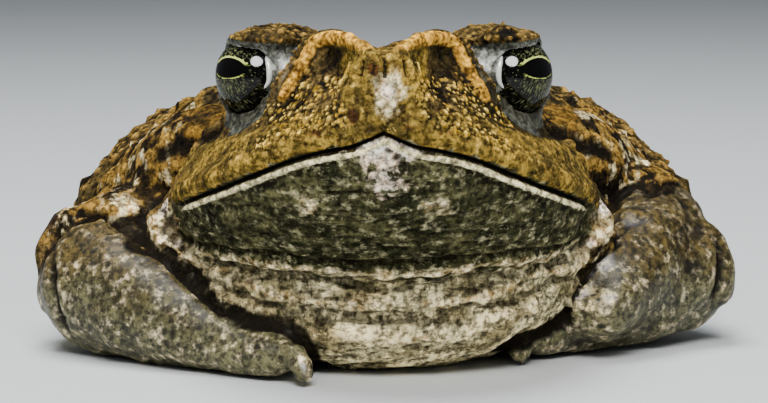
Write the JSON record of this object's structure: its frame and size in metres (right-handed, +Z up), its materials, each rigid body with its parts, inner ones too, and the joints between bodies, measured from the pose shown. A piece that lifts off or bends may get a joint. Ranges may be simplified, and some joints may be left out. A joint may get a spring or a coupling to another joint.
{
  "type": "cane toad",
  "caption": "Life-size still model of a large adult cane toad crouching flat on its belly, head raised, warty back, parotoid glands behind the eyes",
  "frame": {"origin": "on the floor under the middle of the belly, at the centre of the belly's flat", "axes": "+Z up, snout towards -Y, the animal's left side towards +X"},
  "size_m": [0.0992, 0.1507, 0.0459],
  "materials": {
    "skin_back": "warty skin, dull with a slight sheen",
    "skin_pale": "wrinkled throat skin, slightly moist",
    "skin_limb": "smooth spotted skin, slightly moist",
    "gland": "pitted gland skin, dull",
    "eye": "wet and glossy"
  },
  "bodies": {
    "root": {"head": "skin_back", "lower_jaw": "skin_pale", "torso": "skin_back", "parotoid_left": "gland", "parotoid_right": "gland", "eye_left": "eye", "eye_right": "eye", "upper_arm_left": "skin_limb", "upper_arm_right": "skin_limb", "forearm_left": "skin_limb", "forearm_right": "skin_limb", "hand_left": "skin_limb", "hand_right": "skin_limb", "thigh_left": "skin_back", "thigh_right": "skin_back", "shank_left": "skin_limb", "shank_right": "skin_limb", "foot_left": "skin_limb", "foot_right": "skin_limb"}
  },
  "joints": []
}
